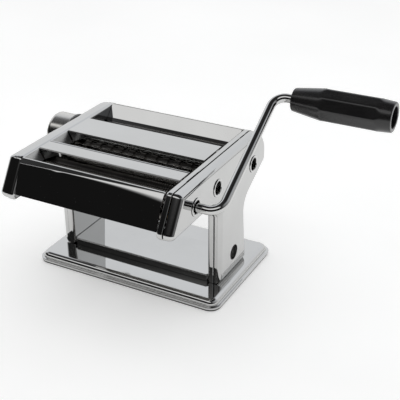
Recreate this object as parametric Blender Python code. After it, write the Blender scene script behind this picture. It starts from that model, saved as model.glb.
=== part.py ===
"""Hand-cranked pasta roller machine: two side housings on a base, smooth rollers and two cutter pairs.

Frame: +X to the crank side, +Y to the rear, +Z up; the origin is the centre of the base's footprint
on the table. Sections are drawn in (y, z) and run along X, as every shaft does. Units are metres.
"""
import math

import bmesh
import bpy
from mathutils import Matrix, Vector

# Clearances
GAP = 0.0003            # between pieces that touch on the real machine
RUNNING = 0.0001        # radial, between a journal and its bearing
MESH_CLEARANCE = 0.0003 # between one gear's tips and the other's roots

# Base
BASE_LENGTH = 0.2126    # along X, at the rubber pad's level
BASE_DEPTH = 0.134      # along Y
BASE_CORNER = 0.012
PAD_THICKNESS = 0.002
PAD_INSET = 0.0008
DECK_TOP = 0.0105
STEP_WIDTH = 0.0030     # flange outside the pan's raised wall
STEP_TOP = 0.0045
DECK_ROUNDING = 0.005
DECK_STEPS = 4
PAN_SHEET = 0.0012
CROSS_PLATE_HEIGHT = 0.0074
CROSS_PLATE_FRONT = -0.0335
CROSS_PLATE_REAR = 0.025
CROSS_PLATE_CORNER = 0.003

# Side housings: an inner frame tray and an outer cover tray, seen along X
BODY_TOP = 0.144
HEAD_DEPTH = 0.0385     # from the top to the nose's underside
TOP_FRONT = -0.1075
NOSE_LEAN = 0.0242      # how far the front edge leans out over the head's depth
PILLAR_FRONT = -0.0344
PILLAR_FOOT_REAR = 0.0274
WAIST_REAR = 0.0206
WAIST_DROP = 0.0647     # from the top to the waist's corner
BULGE_DROP = 0.0377     # from the top to the rear bulge's lower corner
BULGE_REAR = 0.0693
BULGE_RADIUS = 0.0257
FRAME_SHEET = 0.002
COVER_SHEET = 0.001
ROLLER_END_PLAY = 0.002
FRAME_TRAY_DEPTH = 0.0065
FRAME_ROUNDING = 0.0015
COVER_ROUNDING = 0.0045
COVER_DEPTH = 0.0108    # from the frame's rim to the cover's outer face, with the gears inside
PILLAR_JOGGLE = 0.003   # the frame's plate steps outwards on the pillar
JOGGLE_DROP = 0.052
JOGGLE_LENGTH = 0.006

# Rollers and cutters
ROLLER_LENGTH = 0.150
ROLLER_RADIUS = 0.0175
JOURNAL_RADIUS = 0.005
WIDEST_NIP = 0.0025
NARROWEST_NIP = 0.0003
REAR_ROLLER_Y = 0.0385
REAR_ROLLER_DROP = 0.0309
FRONT_ROLLER_RISE = 0.0074   # the front roller's axis above the rear one's
CUTTER_DROP = 0.022
CUTTER_PITCH = 0.0185        # between the axes of one pair
FINE_DRIVE_Y = -0.0828
WIDE_DRIVE_Y = -0.0405
DISC_RADIUS = 0.00975
GROOVE_RADIUS = 0.0085
WIDE_DISC = 0.0065           # width of a ribbon of pasta
DISC_CLEARANCE = 0.0003
SOCKET_FLATS = 0.0063
SOCKET_DEPTH = 0.012
BEARING_MARGIN = 0.0035

# Gears
CUTTER_TEETH = 12
ROLLER_TEETH = 18
CUTTER_TOOTH = 0.0026        # height of a tooth
ROLLER_TOOTH = 0.0039
GEAR_WIDTH = 0.007
TIP_SHARE = 0.09             # half of a tooth's width, as a share of the pitch
ROOT_SHARE = 0.22

# Sheets between the housings
SHEET = 0.001
GUARD_SETBACK = 0.0010       # guard's top edge behind the housings' front corner
GUARD_TOP_WIDTH = 0.0025     # of the narrow band above its bend
GUARD_DROP = 0.032
GUARD_LEAN = 0.0171
GUARD_BEND = 0.006
SHEET_BEND = 0.0015
DIVIDER_FRONT = -0.0815
DIVIDER_REAR = -0.0618
TOP_SHEET_FRONT = -0.035
TOP_SHEET_REAR = 0.002
CHUTE_DROP = 0.0115
CHUTE_LEAN = 0.003
SHEET_LIP = 0.003
HOPPER_TOP_Y = 0.047
HOPPER_BOTTOM_Y = 0.036
HOPPER_DROP = 0.012
REAR_GUARD_FOOT = -20.0      # degrees from the horizontal through the bulge's centre
REAR_GUARD_TOP = 78.0
COMB_OFFSET = 0.0045         # from a cutter's axis to the near side of its comb
COMB_WIDTH = 0.0035
COMB_HEIGHT = 0.006
SCRAPER_LENGTH = 0.004
SCRAPER_ANGLE = 30.0         # below the horizontal, on each roller's outer side

# Tie rods: places of the three rods as (name, y, drop below the top)
TIE_RODS = (("front", -0.0708, 0.011), ("middle", -0.025, 0.032), ("rear", 0.0575, 0.0175))
TIE_RADIUS = 0.004
TIE_THREAD = 0.0025
NUT_FLATS = 0.008
NUT_HEIGHT = 0.003

# Crank
ROD_RADIUS = 0.0044
TIP_FLATS = 0.006
TIP_PLAY = 0.0015
ARM_OFFSET = 0.0237          # from the cover's face to the arm's centre line
ARM_LENGTH = 0.134
ARM_ANGLE = 31.6
BEND_RADIUS = 0.0125
GRIP_START = 0.0189          # from the arm's centre line
GRIP_LENGTH = 0.096
GRIP_NECK_RADIUS = 0.0111
GRIP_RADIUS = 0.0157
GRIP_FLAT = 0.0148           # half the width across the eight flats
GRIP_END_RADIUS = 0.0141
GRIP_END_CONE = 0.013
GRIP_TAPER = 0.029
GRIP_HOLLOW_RADIUS = 0.010
GRIP_HOLLOW_DEPTH = 0.014
RIVET_RADIUS = 0.006
RIVET_HEIGHT = 0.003
BEZEL_RADIUS = 0.0088
BEZEL_BORE = 0.0064
BEZEL_NECK = 0.0075
BEZEL_FLANGE = 0.0006

# Thickness dial
DIAL_RADIUS = 0.0214
DIAL_LENGTH = 0.0245
DIAL_ROUNDING = 0.0045
DIAL_SHAFT_RADIUS = 0.004
DIAL_BORE_DEPTH = 0.016
DIAL_CAM_RADIUS = 0.009
DIAL_CAM_WIDTH = 0.003
DIAL_PLATE_RADIUS = 0.0225
DIAL_PLATE_THICKNESS = 0.0012

# Clamp socket in the crank side's pillar
CLAMP_Y = -0.0038
CLAMP_HEIGHT = 0.033
CLAMP_HOLE_RADIUS = 0.008
CLAMP_SOCKET_WALL = 0.0025

# Facets of round pieces; those of rollers and cutters are multiples of six, for their sockets
ROLLER_SIDES = 30
CUTTER_SIDES = 12
SMALL_SIDES = 16
ROD_SIDES = 12
GRIP_SIDES = 24
DIAL_SIDES = 24
DIAL_STEPS = 5
SHARP_ANGLE = 35.0           # degrees between faces that stay a crisp edge

# Places that follow from the sizes above
FRAME_IN = ROLLER_LENGTH / 2 + ROLLER_END_PLAY
FRAME_OUT = FRAME_IN + FRAME_SHEET
FRAME_RIM = FRAME_IN + FRAME_TRAY_DEPTH
COVER_OUT = FRAME_RIM + COVER_DEPTH
COVER_IN = COVER_OUT - COVER_SHEET
COVER_RIM = FRAME_RIM + GAP
SPAN = FRAME_IN - GAP                     # half length of what fits between the frames
HOUSING_FOOT = DECK_TOP + GAP
CUTTER_Z = BODY_TOP - CUTTER_DROP
REAR_ROLLER_Z = BODY_TOP - REAR_ROLLER_DROP
REST_CENTRES = 2 * ROLLER_RADIUS + WIDEST_NIP
CLOSED_CENTRES = 2 * ROLLER_RADIUS + NARROWEST_NIP
FRONT_ROLLER_Z = REAR_ROLLER_Z + FRONT_ROLLER_RISE
FRONT_ROLLER_Y = REAR_ROLLER_Y - math.sqrt(REST_CENTRES ** 2 - FRONT_ROLLER_RISE ** 2)
CARRIAGE_TRAVEL = REAR_ROLLER_Y - math.sqrt(CLOSED_CENTRES ** 2 - FRONT_ROLLER_RISE ** 2) - FRONT_ROLLER_Y
DIAL_Y = FRONT_ROLLER_Y + CARRIAGE_TRAVEL / 2
BEARING_IN = FRAME_OUT + GAP
BEARING_OUT = FRAME_RIM - GAP
GEAR_IN = FRAME_RIM + GAP
GEAR_OUT = GEAR_IN + GEAR_WIDTH
JOURNAL_END = GEAR_OUT + GAP
IDLE_END = BEARING_OUT + GAP
ARM_X = COVER_OUT + ARM_OFFSET
BULGE_CENTRE = (BULGE_REAR - BULGE_RADIUS, BODY_TOP - BULGE_RADIUS)
PILLAR_OUT = COVER_OUT - COVER_ROUNDING

STEEL = ("polished_steel", (0.78, 0.79, 0.80), 0.08, 1.0)
SATIN = ("satin_steel", (0.55, 0.55, 0.56), 0.30, 1.0)
BRONZE = ("bearing_bronze", (0.55, 0.40, 0.22), 0.35, 1.0)
RUBBER = ("black_rubber", (0.02, 0.02, 0.02), 0.80, 0.0)
PLASTIC = ("black_plastic", (0.012, 0.012, 0.013), 0.22, 0.0)


def clear_scene():
    for obj in list(bpy.data.objects):
        bpy.data.objects.remove(obj)


def material(finish, name):
    """A material of its own for each piece, made from a finish."""
    label, colour, roughness, metallic = finish
    made = bpy.data.materials.new(name + "_" + label)
    made.use_nodes = True
    shader = made.node_tree.nodes["Principled BSDF"]
    shader.inputs["Base Color"].default_value = (*colour, 1.0)
    shader.inputs["Roughness"].default_value = roughness
    shader.inputs["Metallic"].default_value = metallic
    return made


def place(name, bm, finish, origin=(0.0, 0.0, 0.0)):
    """Turns a bmesh drawn in world coordinates into a named object whose origin is at origin."""
    bm.normal_update()
    bmesh.ops.recalc_face_normals(bm, faces=bm.faces[:])
    bmesh.ops.translate(bm, verts=bm.verts[:], vec=-Vector(origin))
    mesh = bpy.data.meshes.new(name)
    bm.to_mesh(mesh)
    bm.free()
    mesh.shade_smooth()
    mesh.set_sharp_from_angle(angle=math.radians(SHARP_ANGLE))
    mesh.materials.append(material(finish, name))
    obj = bpy.data.objects.new(name, mesh)
    obj.location = origin
    bpy.context.scene.collection.objects.link(obj)
    return obj


# Outlines in two dimensions

def outline(corners, inset=0.0):
    """A counter-clockwise outline moved inwards by inset.

    Each corner is (y, z, radius, arc steps). A convex radius shrinks with the inset, a concave one grows.
    """
    points = []
    count = len(corners)
    for i, (y, z, radius, steps) in enumerate(corners):
        here = Vector((y, z))
        into = (here - Vector(corners[i - 1][:2])).normalized()
        out = (Vector(corners[(i + 1) % count][:2]) - here).normalized()
        left_in = Vector((-into.y, into.x))
        left_out = Vector((-out.y, out.x))
        here = here + (left_in + left_out) * (inset / (1.0 + left_in.dot(left_out)))
        turn = math.atan2(into.x * out.y - into.y * out.x, into.dot(out))
        if steps == 0:
            points.append(tuple(here))
            continue
        side = math.copysign(1.0, turn)
        bend = max(radius - side * inset, GAP)
        start = here - into * (bend * math.tan(abs(turn) / 2))
        centre = start + left_in * (side * bend)
        for step in range(steps + 1):
            spoke = (start - centre).copy()
            spoke.rotate(Matrix.Rotation(turn * step / steps, 2))
            points.append(tuple(centre + spoke))
    return points


def circle(y, z, radius, sides):
    angles = [2 * math.pi * i / sides for i in range(sides)]
    return [(y + radius * math.cos(a), z + radius * math.sin(a)) for a in angles]


def clear_hole(y, z, radius, sides, clearance):
    """A hole whose flats, not only its corners, clear a shaft of the given radius."""
    return circle(y, z, (radius + clearance) / math.cos(math.pi / sides), sides)


def flat_reach(angle, half_flats, sides):
    """Distance to the side of a regular polygon that has a corner at angle 0."""
    off_flat = angle % (2 * math.pi / sides) - math.pi / sides
    return half_flats / math.cos(off_flat)


def hexagon(y, z, half_flats, count):
    """A hexagon drawn with count points, so that it can join a rounder ring."""
    ring = []
    for i in range(count):
        angle = 2 * math.pi * i / count
        reach = flat_reach(angle, half_flats, 6)
        ring.append((y + reach * math.cos(angle), z + reach * math.sin(angle)))
    return ring


def strip(points, thickness):
    """The closed section of a sheet bent along points; the sheet lies on the line's left side."""
    shifted = []
    for i, point in enumerate(points):
        here = Vector(point)
        before = (here - Vector(points[i - 1])).normalized() if i > 0 else None
        after = (Vector(points[i + 1]) - here).normalized() if i + 1 < len(points) else None
        before = before or after
        after = after or before
        left_a = Vector((-before.y, before.x))
        left_b = Vector((-after.y, after.x))
        shifted.append(tuple(here + (left_a + left_b) * (thickness / (1.0 + left_a.dot(left_b)))))
    return [tuple(point) for point in points] + shifted[::-1]


def arc(centre, radius, start, end, steps):
    angles = [math.radians(start + (end - start) * i / steps) for i in range(steps + 1)]
    return [(centre[0] + radius * math.cos(a), centre[1] + radius * math.sin(a)) for a in angles]


def rounded_path(points, radius, steps):
    """An open line, in two or three dimensions, with a round bend at each inner corner."""
    path = [Vector(points[0])]
    for before, here, after in zip(points, points[1:], points[2:]):
        into = (Vector(here) - Vector(before)).normalized()
        out = (Vector(after) - Vector(here)).normalized()
        turn = into.angle(out)
        start = Vector(here) - into * (radius * math.tan(turn / 2))
        inwards = (out - into * math.cos(turn)).normalized()
        for i in range(steps + 1):
            part = turn * i / steps
            aside = inwards * (radius * (1.0 - math.cos(part)))
            path.append(start + aside + into * (radius * math.sin(part)))
    path.append(Vector(points[-1]))
    return path


# Solids

def add_loop(bm, x, points):
    verts = [bm.verts.new((x, y, z)) for y, z in points]
    for i, vert in enumerate(verts):
        bm.edges.new((verts[i - 1], vert))
    return verts


def join_loops(bm, first, second):
    for i in range(len(first)):
        bm.faces.new((first[i - 1], first[i], second[i], second[i - 1]))


def fill_loops(bm, loops):
    edges = []
    for verts in loops:
        edges += [bm.edges.get((verts[i - 1], verts[i])) for i in range(len(verts))]
    bmesh.ops.triangle_fill(bm, use_beauty=True, use_dissolve=False, edges=edges)


def lofted(rings, holes=()):
    """A solid through rings of equal length, as (x, points), with straight holes between its ends."""
    bm = bmesh.new()
    loops = [add_loop(bm, x, points) for x, points in rings]
    for first, second in zip(loops, loops[1:]):
        join_loops(bm, first, second)
    starts = [add_loop(bm, rings[0][0], hole) for hole in holes]
    ends = [add_loop(bm, rings[-1][0], hole) for hole in holes]
    for first, second in zip(starts, ends):
        join_loops(bm, first, second)
    fill_loops(bm, [loops[0]] + starts)
    fill_loops(bm, [loops[-1]] + ends)
    return bm


def prism(points, x_from, x_to, holes=()):
    return lofted([(x_from, points), (x_to, points)], holes)


def turned(axis, profile, sides):
    """A solid of revolution about an X axis through (y, z), from a profile of (x, radius)."""
    return lofted([(x, circle(*axis, radius, sides)) for x, radius in profile])


def turned_ring(axis, profile, sides):
    """As turned, for a closed profile that goes round a bore."""
    bm = bmesh.new()
    loops = [add_loop(bm, x, circle(*axis, radius, sides)) for x, radius in profile]
    for i, loop in enumerate(loops):
        join_loops(bm, loops[i - 1], loop)
    return bm


def mirrored(bm):
    """The same solid on the other side of the machine."""
    bmesh.ops.scale(bm, vec=(-1.0, 1.0, 1.0), verts=bm.verts[:])
    return bm


# Base

def rectangle(half_x, low_y, high_y, corner, steps):
    """Corners of a rounded rectangle in plan, counter-clockwise, as (x, y, radius, steps)."""
    return [(-half_x, low_y, corner, steps), (half_x, low_y, corner, steps),
            (half_x, high_y, corner, steps), (-half_x, high_y, corner, steps)]


def stacked(levels, corners):
    """A solid through plan outlines, as (z, inset): the lofting axis X is turned to Z."""
    bm = lofted([(z, outline(corners, inset)) for z, inset in levels])
    for vert in bm.verts:
        vert.co = Vector((vert.co.y, vert.co.z, vert.co.x))
    return bm


def base_corners():
    return rectangle(BASE_LENGTH / 2, -BASE_DEPTH / 2, BASE_DEPTH / 2, BASE_CORNER, 5)


def make_base_pad():
    levels = [(0.0, PAD_INSET), (PAD_THICKNESS, PAD_INSET)]
    place("base_pad", stacked(levels, base_corners()), RUBBER)


def deck_edge(radius, start):
    """Levels (z, inset) of the deck's rounded edge, from the wall at start up to the deck."""
    turns = [math.pi / 2 * i / DECK_STEPS for i in range(DECK_STEPS + 1)]
    middle = DECK_TOP - DECK_ROUNDING
    return [(middle + radius * math.sin(t), start + radius * (1 - math.cos(t))) for t in turns]


def make_base_pan():
    bottom = PAD_THICKNESS + GAP
    wall = STEP_WIDTH
    under_step = STEP_TOP - PAN_SHEET
    inner = wall + PAN_SHEET
    outside = [(bottom, 0.0), (STEP_TOP - STEP_WIDTH / 5, 0.0), (STEP_TOP, STEP_WIDTH / 5), (STEP_TOP, wall)]
    outside += deck_edge(DECK_ROUNDING, wall)
    inside = deck_edge(DECK_ROUNDING - PAN_SHEET, inner)[::-1]
    inside += [(under_step, inner), (under_step, PAN_SHEET), (bottom, PAN_SHEET)]
    bm = bmesh.new()
    loops = []
    for z, inset in outside + inside:
        loops.append([bm.verts.new((x, y, z)) for x, y in outline(base_corners(), inset)])
    for i in range(len(loops)):
        if i != len(outside):
            join_loops(bm, loops[i - 1], loops[i])
    for loop in (loops[len(outside) - 1], loops[len(outside)]):
        bm.faces.new(loop)
    place("base_pan", bm, STEEL)


def make_cross_plate():
    half = FRAME_IN + PILLAR_JOGGLE - GAP
    corners = rectangle(half, CROSS_PLATE_FRONT, CROSS_PLATE_REAR, CROSS_PLATE_CORNER, 3)
    top = DECK_TOP + CROSS_PLATE_HEIGHT
    foot = HOUSING_FOOT
    edge = PAN_SHEET / 2
    levels = [(top - PAN_SHEET, PAN_SHEET), (foot, PAN_SHEET), (foot, 0.0), (top - edge, 0.0), (top, edge)]
    place("cross_plate", stacked(levels, corners), STEEL)


# Side housings

def side_corners():
    """Corners of a housing seen along X, counter-clockwise from the top front corner."""
    underside = BODY_TOP - HEAD_DEPTH
    return [
        (TOP_FRONT, BODY_TOP, 0.0052, 3),
        (TOP_FRONT - NOSE_LEAN, underside, 0.0058, 5),
        (PILLAR_FRONT, underside, 0.020, 6),
        (PILLAR_FRONT, HOUSING_FOOT, 0.0, 0),
        (PILLAR_FOOT_REAR, HOUSING_FOOT, 0.0, 0),
        (WAIST_REAR, BODY_TOP - WAIST_DROP, 0.018, 5),
        (BULGE_REAR, BODY_TOP - BULGE_DROP, 0.008, 4),
        (BULGE_REAR, BODY_TOP, BULGE_RADIUS, 8)]


def joggle(bm, fixed_from):
    """Steps the part of a housing nearer than fixed_from outwards on the pillar."""
    high = BODY_TOP - JOGGLE_DROP
    low = high - JOGGLE_LENGTH
    for z in (high, low):
        geometry = bm.verts[:] + bm.edges[:] + bm.faces[:]
        bmesh.ops.bisect_plane(bm, geom=geometry, plane_co=(0.0, 0.0, z), plane_no=(0.0, 0.0, 1.0))
    for vert in bm.verts:
        if vert.co.x < fixed_from:
            share = min(max((high - vert.co.z) / JOGGLE_LENGTH, 0.0), 1.0)
            vert.co.x += PILLAR_JOGGLE * share
    return bm


def tray(profile, holes):
    """A dished sheet with the housing's outline, from (x, inset) rings."""
    return lofted([(x, outline(side_corners(), inset)) for x, inset in profile], holes)


def frame_holes():
    """Holes for the cutters' journals, the rollers' journals and the tie rods."""
    through = JOURNAL_RADIUS + 4 * GAP
    holes = []
    for y in (FINE_DRIVE_Y, WIDE_DRIVE_Y):
        holes.append(clear_hole(y, CUTTER_Z, through, SMALL_SIDES, 0.0))
        holes.append(clear_hole(y - CUTTER_PITCH, CUTTER_Z, through, SMALL_SIDES, 0.0))
    holes.append(clear_hole(REAR_ROLLER_Y, REAR_ROLLER_Z, through, SMALL_SIDES, 0.0))
    holes.append(clear_hole(DIAL_Y, FRONT_ROLLER_Z, through + CARRIAGE_TRAVEL / 2, SMALL_SIDES, 0.0))
    for _, y, drop in TIE_RODS:
        holes.append(clear_hole(y, BODY_TOP - drop, TIE_THREAD, ROD_SIDES, GAP))
    return holes


def make_side_frame(name, flip):
    profile = [
        (FRAME_OUT, FRAME_SHEET + FRAME_ROUNDING), (FRAME_OUT + FRAME_ROUNDING, FRAME_SHEET),
        (FRAME_RIM, FRAME_SHEET), (FRAME_RIM, 0.0), (FRAME_IN + 2 * FRAME_ROUNDING, 0.0),
        (FRAME_IN + FRAME_ROUNDING * 0.6, FRAME_ROUNDING * 0.6), (FRAME_IN, 2 * FRAME_ROUNDING)]
    bm = joggle(tray(profile, frame_holes()), COVER_OUT)
    place(name, mirrored(bm) if flip else bm, STEEL)


def cover_profile():
    """Rings of the cover tray from its inner face over the rim to its outer face."""
    steps = 4
    inner_bend = COVER_ROUNDING - COVER_SHEET
    rings = []
    for i in range(steps + 1):
        turn = math.pi / 2 * i / steps
        rings.append((PILLAR_OUT + inner_bend * math.cos(turn), COVER_ROUNDING - inner_bend * math.sin(turn)))
    rings += [(COVER_RIM, COVER_SHEET), (COVER_RIM, 0.0)]
    for i in range(steps, -1, -1):
        turn = math.pi / 2 * i / steps
        bend = COVER_ROUNDING
        rings.append((PILLAR_OUT + bend * math.cos(turn), COVER_ROUNDING - bend * math.sin(turn)))
    return rings


def make_side_cover(name, flip, holes):
    bm = joggle(tray(cover_profile(), holes), (COVER_RIM + PILLAR_OUT) / 2)
    place(name, mirrored(bm) if flip else bm, STEEL)


def crank_hole_places():
    return (("front", FINE_DRIVE_Y, CUTTER_Z), ("middle", WIDE_DRIVE_Y, CUTTER_Z),
            ("rear", REAR_ROLLER_Y, REAR_ROLLER_Z))


def make_housings():
    crank_side = [clear_hole(y, z, BEZEL_NECK, SMALL_SIDES, GAP) for _, y, z in crank_hole_places()]
    crank_side.append(circle(CLAMP_Y, CLAMP_HEIGHT, CLAMP_HOLE_RADIUS, SMALL_SIDES))
    dial_side = [clear_hole(DIAL_Y, FRONT_ROLLER_Z, DIAL_SHAFT_RADIUS, SMALL_SIDES, GAP)]
    make_side_frame("side_frame_right", False)
    make_side_frame("side_frame_left", True)
    make_side_cover("side_cover_right", False, crank_side)
    make_side_cover("side_cover_left", True, dial_side)


def make_bezels():
    """Ring linings of the three crank holes."""
    inside = COVER_IN - 2 * GAP
    face = COVER_OUT + GAP
    front = face + BEZEL_FLANGE
    profile = [(inside, BEZEL_BORE), (inside, BEZEL_NECK), (face, BEZEL_NECK), (face, BEZEL_RADIUS),
               (front - BEZEL_FLANGE / 2, BEZEL_RADIUS), (front, BEZEL_RADIUS - BEZEL_FLANGE / 2),
               (front, BEZEL_BORE)]
    for label, y, z in crank_hole_places():
        place("crank_bezel_" + label, turned_ring((y, z), profile, SMALL_SIDES), STEEL)


def make_clamp_socket():
    """Sleeve behind the clamp's hole, between the cover and the frame's plate."""
    start = FRAME_OUT + PILLAR_JOGGLE + GAP
    end = COVER_IN - GAP
    outer = CLAMP_HOLE_RADIUS + CLAMP_SOCKET_WALL
    profile = [(start, CLAMP_HOLE_RADIUS), (start, outer), (end, outer), (end, CLAMP_HOLE_RADIUS)]
    place("clamp_socket", turned_ring((CLAMP_Y, CLAMP_HEIGHT), profile, SMALL_SIDES), SATIN)


# Sheets, combs, scrapers and tie rods between the housings

def make_front_guard():
    top = (TOP_FRONT + GUARD_SETBACK, BODY_TOP - GAP)
    bend = (top[0] - GUARD_TOP_WIDTH, top[1] - GUARD_TOP_WIDTH / 2)
    foot = (top[0] - GUARD_LEAN, BODY_TOP - GUARD_DROP)
    curve = rounded_path([top, bend, foot], GUARD_BEND, 4)
    place("front_guard", prism(strip(curve, SHEET), -SPAN, SPAN), STEEL)


def folded_top(front, rear):
    """Section of a flat top sheet with a chute down at its front and a short lip at its rear."""
    top = BODY_TOP - GAP
    corners = [(rear, top - SHEET_LIP), (rear, top), (front, top), (front - CHUTE_LEAN, top - CHUTE_DROP)]
    return strip(rounded_path(corners, SHEET_BEND, 2), SHEET)


def make_top_sheets():
    place("divider_sheet", prism(folded_top(DIVIDER_FRONT, DIVIDER_REAR), -SPAN, SPAN), STEEL)
    place("top_sheet", prism(folded_top(TOP_SHEET_FRONT, TOP_SHEET_REAR), -SPAN, SPAN), STEEL)


def make_rear_sheets():
    top = BODY_TOP - GAP
    wall = [(HOPPER_TOP_Y, top), (HOPPER_BOTTOM_Y, top - HOPPER_DROP)]
    place("hopper_wall", prism(strip(wall, SHEET), -SPAN, SPAN), STEEL)
    curve = arc(BULGE_CENTRE, BULGE_RADIUS - GAP, REAR_GUARD_FOOT, REAR_GUARD_TOP, 8)
    place("rear_guard", prism(strip(curve, SHEET), -SPAN, SPAN), STEEL)


def make_combs():
    """Four bars under the cutters that strip the ribbons off."""
    top = CUTTER_Z - DISC_RADIUS - GAP
    for pair, drive_y in (("fine", FINE_DRIVE_Y), ("wide", WIDE_DRIVE_Y)):
        ahead = drive_y - CUTTER_PITCH - COMB_OFFSET - COMB_WIDTH
        for side, low in (("rear", drive_y + COMB_OFFSET), ("front", ahead)):
            section = [(low, top - COMB_HEIGHT), (low + COMB_WIDTH, top - COMB_HEIGHT),
                       (low + COMB_WIDTH, top), (low, top)]
            place(f"{pair}_comb_{side}", prism(section, -SPAN, SPAN), SATIN)


def make_scrapers():
    """Thin blades that rest against the undersides of the two smooth rollers."""
    for name, y, z, angle in (("scraper_front", FRONT_ROLLER_Y, FRONT_ROLLER_Z, 180.0 + SCRAPER_ANGLE),
                              ("scraper_rear", REAR_ROLLER_Y, REAR_ROLLER_Z, -SCRAPER_ANGLE)):
        turn = math.radians(angle)
        spoke = Vector((math.cos(turn), math.sin(turn)))
        near = Vector((y, z)) + spoke * (ROLLER_RADIUS + GAP)
        far = near + spoke * SCRAPER_LENGTH
        place(name, prism(strip([tuple(near), tuple(far)], SHEET), -SPAN, SPAN), SATIN)


def make_tie_rods():
    for label, y, drop in TIE_RODS:
        axis = (y, BODY_TOP - drop)
        end = FRAME_OUT + GAP + NUT_HEIGHT + 2 * GAP
        profile = [(-end, TIE_THREAD), (-SPAN, TIE_THREAD), (-SPAN, TIE_RADIUS), (SPAN, TIE_RADIUS),
                   (SPAN, TIE_THREAD), (end, TIE_THREAD)]
        place("tie_rod_" + label, turned(axis, profile, ROD_SIDES), SATIN)
        for side, sign in (("right", 1), ("left", -1)):
            start = FRAME_OUT + GAP
            bore = clear_hole(*axis, TIE_THREAD, ROD_SIDES, RUNNING)
            nut = prism(hexagon(*axis, NUT_FLATS / 2, 6), sign * start, sign * (start + NUT_HEIGHT), [bore])
            place(f"tie_nut_{label}_{side}", nut, SATIN)


# Bearings

def make_cutter_bearings():
    """A plate with two bores on each frame for each cutter pair."""
    outer = JOURNAL_RADIUS + BEARING_MARGIN
    for pair, drive_y in (("fine", FINE_DRIVE_Y), ("wide", WIDE_DRIVE_Y)):
        idle_y = drive_y - CUTTER_PITCH
        plate = arc((drive_y, CUTTER_Z), outer, -90.0, 90.0, 6)
        plate += arc((idle_y, CUTTER_Z), outer, 90.0, 270.0, 6)
        bores = [clear_hole(y, CUTTER_Z, JOURNAL_RADIUS, SMALL_SIDES, RUNNING) for y in (drive_y, idle_y)]
        for side, sign in (("right", 1), ("left", -1)):
            block = prism(plate, sign * BEARING_IN, sign * BEARING_OUT, bores)
            place(f"{pair}_bearing_{side}", block, BRONZE)


def make_roller_bushes():
    """Round bushes; the front pair is eccentric on the real machine and moves with the dial."""
    outer = JOURNAL_RADIUS + BEARING_MARGIN
    for label, y, z in (("rear", REAR_ROLLER_Y, REAR_ROLLER_Z), ("front", FRONT_ROLLER_Y, FRONT_ROLLER_Z)):
        bore = clear_hole(y, z, JOURNAL_RADIUS, SMALL_SIDES, RUNNING)
        for side, sign in (("right", 1), ("left", -1)):
            bush = prism(circle(y, z, outer, SMALL_SIDES), sign * BEARING_IN, sign * BEARING_OUT, [bore])
            place(f"{label}_roller_bush_{side}", bush, BRONZE, (sign * BEARING_IN, y, z))


# Rollers, cutters and gears

def journal_rings(axis, sides, driven):
    """Rings of the right-hand journal, with a hexagonal socket in a driven one."""
    y, z = axis
    rings = [(JOURNAL_END, circle(y, z, JOURNAL_RADIUS, sides))]
    if driven:
        socket = hexagon(y, z, SOCKET_FLATS / 2, sides)
        rings += [(JOURNAL_END, socket), (JOURNAL_END - SOCKET_DEPTH, socket)]
    return rings


def make_shaft(name, axis, body_rings, sides, driven):
    """A roller or cutter: its body between two journals."""
    half = ROLLER_LENGTH / 2
    journal = circle(*axis, JOURNAL_RADIUS, sides)
    rings = [(-IDLE_END, journal), (-half, journal)] + body_rings + [(half, journal)]
    rings += journal_rings(axis, sides, driven)
    place(name, lofted(rings), SATIN, (0.0, *axis))


def plain_body(axis, radius, sides):
    half = ROLLER_LENGTH / 2
    return [(-half, circle(*axis, radius, sides)), (half, circle(*axis, radius, sides))]


def grooved_body(axis, sides, offset):
    """Alternate discs and grooves; offset shifts them by one disc so that a pair interleaves."""
    half = ROLLER_LENGTH / 2
    count = int(ROLLER_LENGTH // WIDE_DISC)
    start = -count * WIDE_DISC / 2
    rings = [(-half, circle(*axis, GROOVE_RADIUS, sides))]
    for i in range(offset, count, 2):
        left = start + i * WIDE_DISC + DISC_CLEARANCE
        right = start + (i + 1) * WIDE_DISC - DISC_CLEARANCE
        for x, radii in ((left, (GROOVE_RADIUS, DISC_RADIUS)), (right, (DISC_RADIUS, GROOVE_RADIUS))):
            rings += [(x, circle(*axis, radius, sides)) for radius in radii]
    rings.append((half, circle(*axis, GROOVE_RADIUS, sides)))
    return rings


def gear_outline(axis, teeth, tip_radius, tooth, phase):
    """Teeth with straight flanks, narrow enough to run at either end of the dial's travel."""
    root_radius = tip_radius - tooth
    pitch = 2 * math.pi / teeth
    flanks = ((root_radius, -ROOT_SHARE), (tip_radius, -TIP_SHARE), (tip_radius, TIP_SHARE),
              (root_radius, ROOT_SHARE))
    points = []
    for i in range(teeth):
        middle = phase + i * pitch
        for radius, share in flanks:
            angle = middle + share * pitch
            points.append((axis[0] + radius * math.cos(angle), axis[1] + radius * math.sin(angle)))
    return points


def make_gear(name, axis, teeth, tip_radius, tooth, phase):
    bore = circle(*axis, JOURNAL_RADIUS + GAP, SMALL_SIDES)
    bm = prism(gear_outline(axis, teeth, tip_radius, tooth, phase), GEAR_IN, GEAR_OUT, [bore])
    place(name, bm, SATIN, (GEAR_IN, *axis))


def make_gear_pair(label, drive, idle, teeth, tooth, centres):
    """Two equal gears in mesh: a tooth of one points into a gap of the other."""
    tip = (centres - MESH_CLEARANCE + tooth) / 2
    towards = math.atan2(idle[1] - drive[1], idle[0] - drive[0])
    make_gear(label[0], drive, teeth, tip, tooth, towards)
    make_gear(label[1], idle, teeth, tip, tooth, towards + math.pi + math.pi / teeth)


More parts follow.
